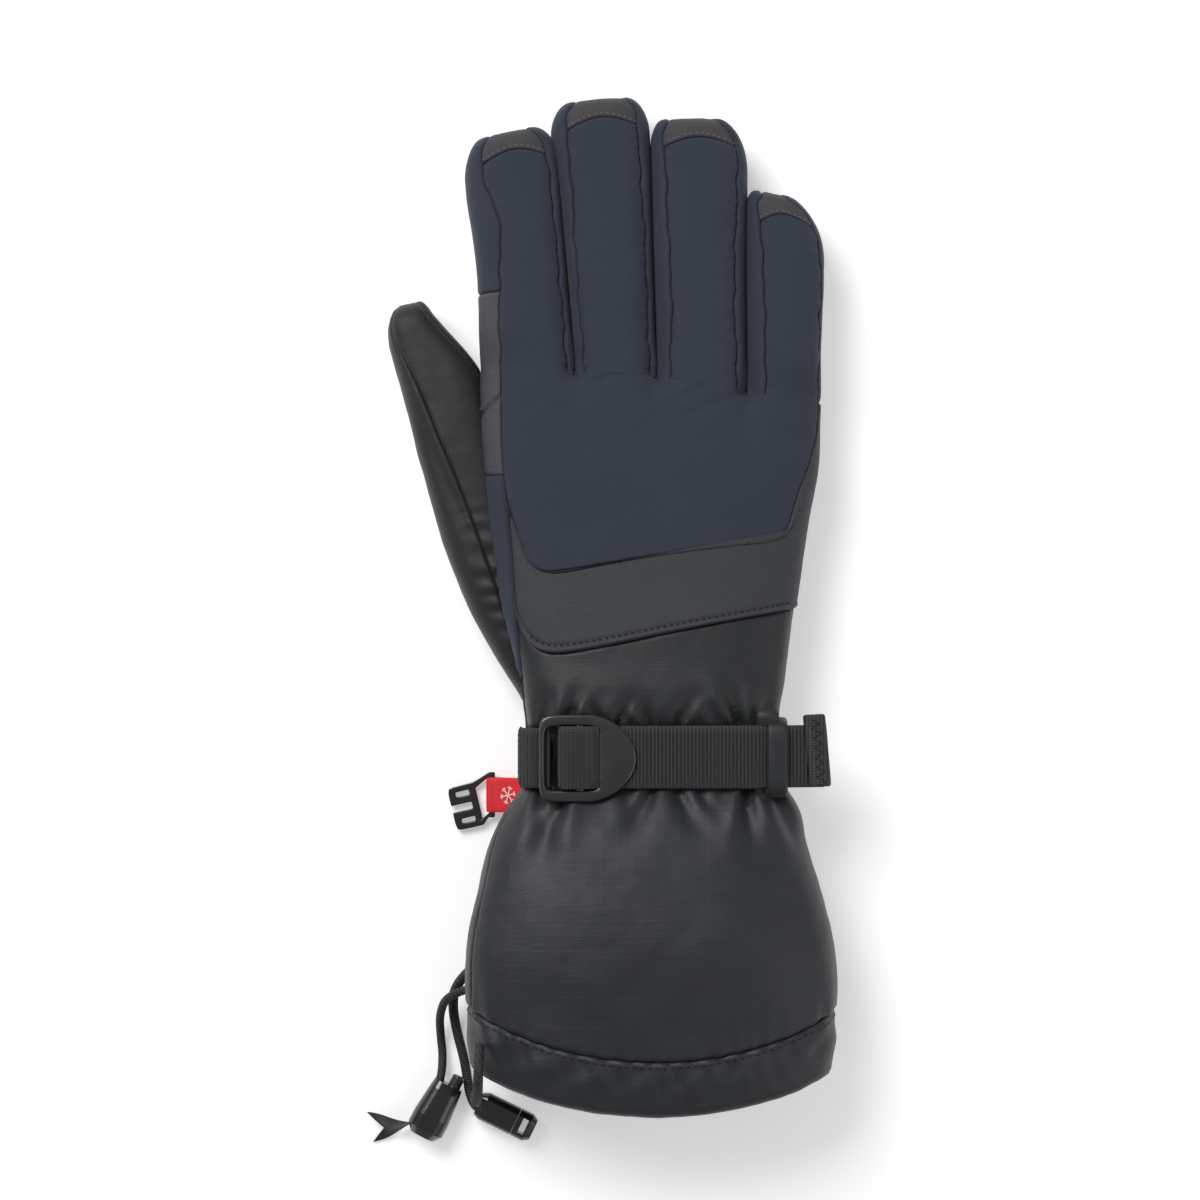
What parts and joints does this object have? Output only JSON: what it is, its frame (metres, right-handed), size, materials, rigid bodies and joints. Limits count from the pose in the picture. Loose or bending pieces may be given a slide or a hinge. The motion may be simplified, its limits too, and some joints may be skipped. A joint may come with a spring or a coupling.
{
  "type": "ski glove",
  "caption": "Padded ski glove for a right hand, with hinged fingers and thumb, a strapped wrist, a long gauntlet, a hook clip and a hem drawcord.",
  "frame": {"origin": "on the underside of the palm side, below the middle of the wrist strap", "axes": "+X to the little finger side, +Y to the fingertips, +Z out of the back of the hand"},
  "size_m": [0.1534, 0.342, 0.05],
  "materials": {
    "navy_softshell": "woven softshell",
    "black_nylon": "fine ripstop with a low sheen",
    "palm_leather": "soft pebbled grain",
    "trim_leather": "fine pebbled grain",
    "thumb_nylon": "plain weave with a sheen",
    "membrane": "thin laminate",
    "wadding": "loose fibre",
    "fleece": "brushed pile",
    "webbing": "ribbed tape",
    "hard_plastic": "moulded, satin",
    "red_ribbon": "satin",
    "elastic_cord": "braided",
    "pull_ribbon": "grosgrain",
    "spring_steel": "wire"
  },
  "bodies": {
    "gauntlet": {"hem_band": "black_nylon", "gauntlet_back": "black_nylon", "gauntlet_palm": "black_nylon", "gauntlet_insulation": "wadding", "gauntlet_lining": "fleece", "strap_webbing": "webbing", "anchor_loop": "webbing", "belt_loop": "black_nylon", "strap_end": "webbing", "drawcord_upper_leg": "elastic_cord", "drawcord_lower_leg": "elastic_cord", "lock_tether": "elastic_cord", "cord_end": "hard_plastic", "cord_lock_body": "hard_plastic", "cord_lock_spring": "spring_steel", "ribbon_pull": "pull_ribbon"},
    "hand": {"back_panel": "navy_softshell", "hand_side_patch": "trim_leather", "side_gusset": "navy_softshell", "trim_band": "trim_leather", "wrist_panel": "black_nylon", "palm_panel": "palm_leather", "thumb_base_panel": "thumb_nylon", "hand_membrane": "membrane", "hand_insulation": "wadding", "hand_lining": "fleece"},
    "index_finger": {"index_back": "navy_softshell", "index_fourchettes": "navy_softshell", "index_palm": "palm_leather", "index_membrane": "membrane", "index_insulation": "wadding", "index_lining": "fleece", "index_side_patch": "trim_leather"},
    "middle_finger": {"middle_back": "navy_softshell", "middle_fourchettes": "navy_softshell", "middle_palm": "palm_leather", "middle_membrane": "membrane", "middle_insulation": "wadding", "middle_lining": "fleece"},
    "ring_finger": {"ring_back": "navy_softshell", "ring_fourchettes": "navy_softshell", "ring_palm": "palm_leather", "ring_membrane": "membrane", "ring_insulation": "wadding", "ring_lining": "fleece"},
    "little_finger": {"little_back": "navy_softshell", "little_fourchettes": "navy_softshell", "little_palm": "palm_leather", "little_membrane": "membrane", "little_insulation": "wadding", "little_lining": "fleece"},
    "thumb": {"thumb_back": "thumb_nylon", "thumb_palm": "palm_leather", "thumb_membrane": "membrane", "thumb_insulation": "wadding", "thumb_lining": "fleece"},
    "buckle": {"buckle": "hard_plastic"},
    "tag": {"red_tag": "red_ribbon"},
    "clip": {"hook_clip": "hard_plastic"},
    "lock_plunger": {"cord_lock_plunger": "hard_plastic"}
  },
  "joints": [
    {"name": "wrist_flex", "type": "hinge", "parent": "gauntlet", "child": "hand", "pos_m": [0, 0.0145, 0.018], "axis": [-1, 0, 0], "range_deg": [-20, 25]},
    {"name": "index_flex", "type": "hinge", "parent": "hand", "child": "index_finger", "pos_m": [-0.04135, 0.124, 0.014], "axis": [-0.9973, -0.0732, 0], "range_deg": [0, 55]},
    {"name": "middle_flex", "type": "hinge", "parent": "hand", "child": "middle_finger", "pos_m": [-0.01295, 0.1235, 0.014], "axis": [-0.998, -0.0628, 0], "range_deg": [0, 55]},
    {"name": "ring_flex", "type": "hinge", "parent": "hand", "child": "ring_finger", "pos_m": [0.01485, 0.12, 0.014], "axis": [-0.9997, -0.0227, 0], "range_deg": [0, 55]},
    {"name": "little_flex", "type": "hinge", "parent": "hand", "child": "little_finger", "pos_m": [0.0421, 0.115, 0.014], "axis": [-0.9998, -0.0175, 0], "range_deg": [0, 55]},
    {"name": "thumb_flex", "type": "hinge", "parent": "hand", "child": "thumb", "pos_m": [-0.058, 0.08, 0.011], "axis": [-0.9659, -0.2588, 0], "range_deg": [0, 40]},
    {"name": "buckle_tilt", "type": "hinge", "parent": "gauntlet", "child": "buckle", "pos_m": [-0.0361, 0, 0.0391], "axis": [0, -1, 0], "range_deg": [0, 55], "deforming": ["strap_webbing"]},
    {"name": "tag_swing", "type": "hinge", "parent": "gauntlet", "child": "tag", "pos_m": [-0.0441, -0.0134, 0.008], "axis": [0.438, 0.899, 0], "range_deg": [0, 60]},
    {"name": "clip_swing", "type": "hinge", "parent": "tag", "child": "clip", "pos_m": [-0.0534, -0.0134, 0.0023], "axis": [0, 1, 0], "range_deg": [-60, 35]},
    {"name": "lock_press", "type": "slide", "parent": "gauntlet", "child": "lock_plunger", "axis": [-0.4664, -0.8846, 0], "range_m": [0, 0.003], "stiffness_N_per_m": 400, "deforming": ["cord_lock_spring"]}
  ]
}
